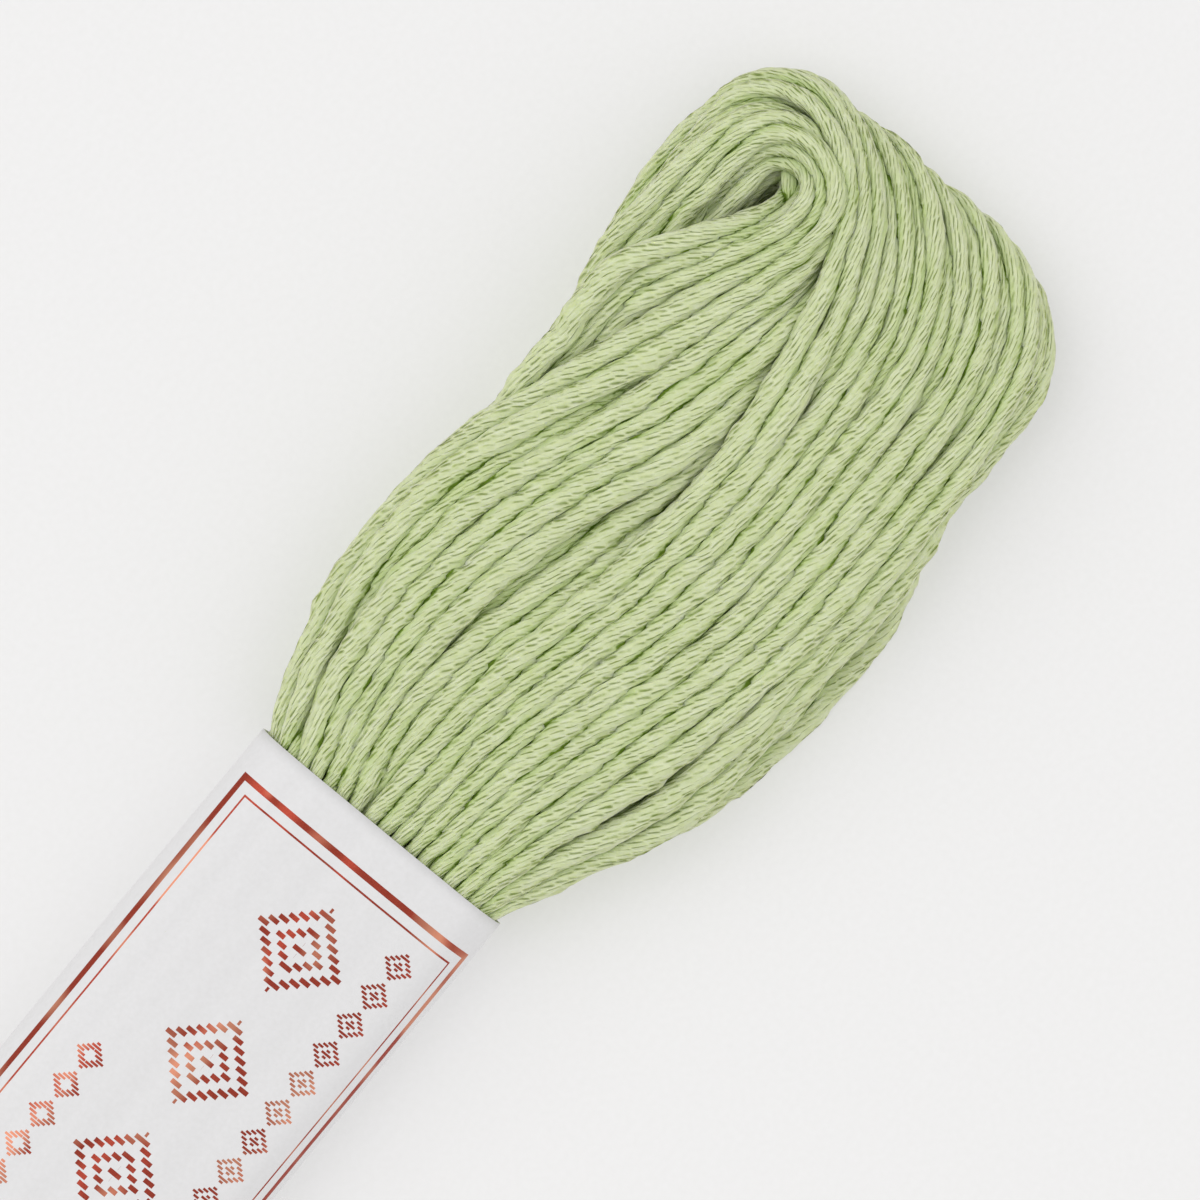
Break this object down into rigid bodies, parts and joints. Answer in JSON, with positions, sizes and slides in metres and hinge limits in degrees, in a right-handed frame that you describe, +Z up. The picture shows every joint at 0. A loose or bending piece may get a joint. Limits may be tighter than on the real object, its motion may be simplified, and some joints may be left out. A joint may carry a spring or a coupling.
{
  "type": "skein of embroidery floss",
  "caption": "Flat skein of soft-twisted cotton embroidery thread held by a paper band round its middle, fanned out at both ends where its turns fold over.",
  "frame": {"origin": "centre of the bounding box's underside, on the surface that the skein lies on", "axes": "+X along the length towards the longer loop end, +Z up from the surface, +Y to the side of the eyes in the turns"},
  "size_m": [0.1754, 0.038, 0.0091],
  "materials": {
    "cotton_thread": "soft-twisted matt cotton, pale green",
    "coated_paper": "smooth coated white paper with a red foil print"
  },
  "bodies": {
    "root": {"thread_hank": "cotton_thread", "paper_band": "coated_paper"}
  },
  "joints": []
}
